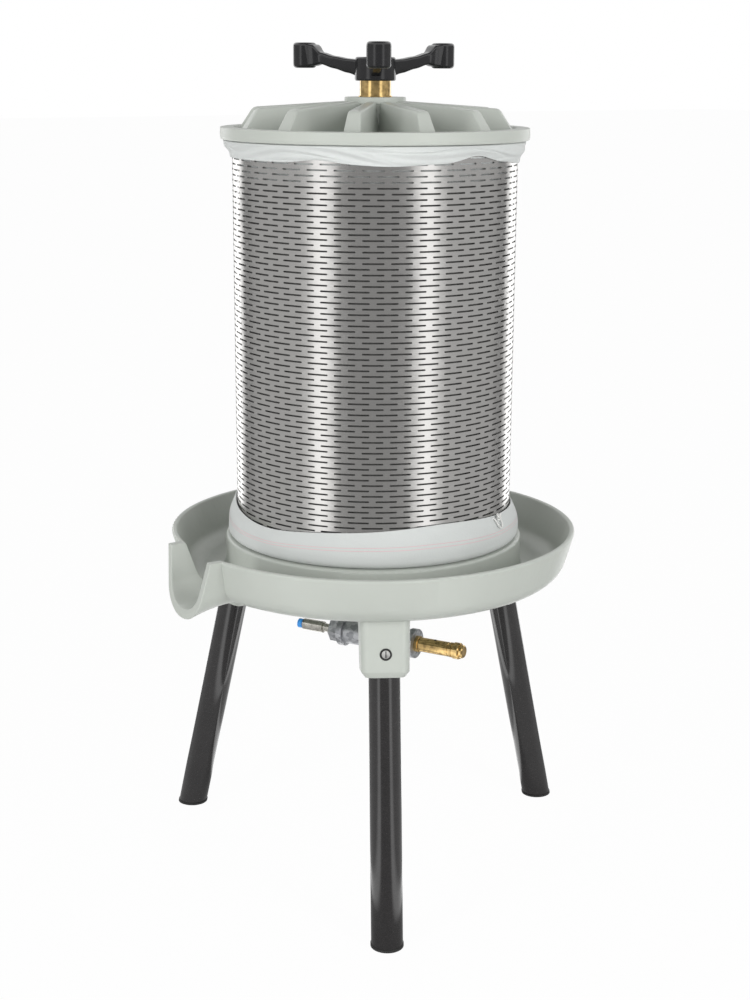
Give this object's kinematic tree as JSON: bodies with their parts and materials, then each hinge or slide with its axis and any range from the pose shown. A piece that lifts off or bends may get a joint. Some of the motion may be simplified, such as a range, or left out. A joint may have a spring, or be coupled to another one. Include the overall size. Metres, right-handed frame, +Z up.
{
  "type": "pneumatic fruit press",
  "caption": "Free-standing bladder press for crushed fruit: slotted round basket with press cloth on a spouted tray, ribbed lid with star nut, splayed tube legs, air fittings below.",
  "frame": {"origin": "on the floor under the middle of the part's outline; the press axis stands 13 mm in front of it", "axes": "+Z up along the press axis, -Y towards the spout, rear leg towards +Y"},
  "size_m": [0.5362, 0.5868, 1.0475],
  "materials": {
    "cast_paint": "satin light grey-green paint on cast metal",
    "leg_coat": "dark grey hammered powder coat",
    "black_plastic": "matt",
    "zinc_steel": "bright zinc plate",
    "rod_steel": "turned steel",
    "seal_rubber": "matt",
    "flange_metal": "turned",
    "stainless": "satin",
    "bladder_rubber": "matt moulded rubber",
    "brass": "turned, bright",
    "black_handle": "glossy moulded",
    "galvanised": "galvanised malleable iron",
    "spring_steel": "drawn wire",
    "nickel": "nickel plate",
    "blue_plastic": "moulded",
    "basket_steel": "satin stainless sheet",
    "cloth": "woven white polyester",
    "cord": "braided white cord"
  },
  "bodies": {
    "root": {"tray": "cast_paint", "rear_leg": "leg_coat", "front_left_leg": "leg_coat", "front_right_leg": "leg_coat", "rear_foot_cap": "black_plastic", "front_left_foot_cap": "black_plastic", "front_right_foot_cap": "black_plastic", "leg_set_screws": "zinc_steel", "tie_rod": "rod_steel", "base_gasket": "seal_rubber", "base_flange": "flange_metal", "core_tube": "stainless", "head_flange": "flange_metal", "rod_seal": "seal_rubber", "bladder": "bladder_rubber", "bladder_bands": "stainless", "flange_nut": "zinc_steel", "rod_washer": "zinc_steel", "rod_nut": "zinc_steel", "tee": "galvanised", "hex_nipple": "galvanised", "coupling": "galvanised", "reducing_bush": "galvanised", "valve_body": "brass", "valve_spring": "spring_steel", "valve_cap": "brass", "push_in_body": "nickel"},
    "basket_set": {"basket": "basket_steel", "press_cloth": "cloth", "drawstring": "cord"},
    "lid_set": {"lid": "cast_paint"},
    "nut_washer": {"thrust_washer": "brass"},
    "star_nut": {"brass_bush": "brass", "star_handle": "black_handle"},
    "hose_collar": {"release_collar": "blue_plastic"},
    "relief_poppet": {"valve_poppet": "brass"}
  },
  "joints": [
    {"name": "basket_lift", "type": "slide", "parent": "root", "child": "basket_set", "axis": [0, 0, 1], "range_m": [0, 0.62]},
    {"name": "lid_lift", "type": "slide", "parent": "basket_set", "child": "lid_set", "axis": [0, 0, 1], "range_m": [0, 0.12]},
    {"name": "nut_rise", "type": "slide", "parent": "lid_set", "child": "nut_washer", "axis": [0, 0, 1], "range_m": [0, 0.0405]},
    {"name": "nut_turn", "type": "hinge", "parent": "nut_washer", "child": "star_nut", "pos_m": [0, -0.01292, 1.02], "axis": [0, 0, 1], "range_deg": [0, 3600]},
    {"name": "collar_press", "type": "slide", "parent": "root", "child": "hose_collar", "axis": [0.8813, 0.4726, 0], "range_m": [0, 0.0015], "stiffness_N_per_m": 500, "springref_m": -0.001},
    {"name": "relief_lift", "type": "slide", "parent": "root", "child": "relief_poppet", "axis": [0.8813, 0.4726, 0], "range_m": [0, 0.0015], "stiffness_N_per_m": 2000, "springref_m": -0.002}
  ],
  "couplings": [
    {"joint": "nut_rise", "follows": "nut_turn", "m_per_rad": 0.00063662}
  ]
}
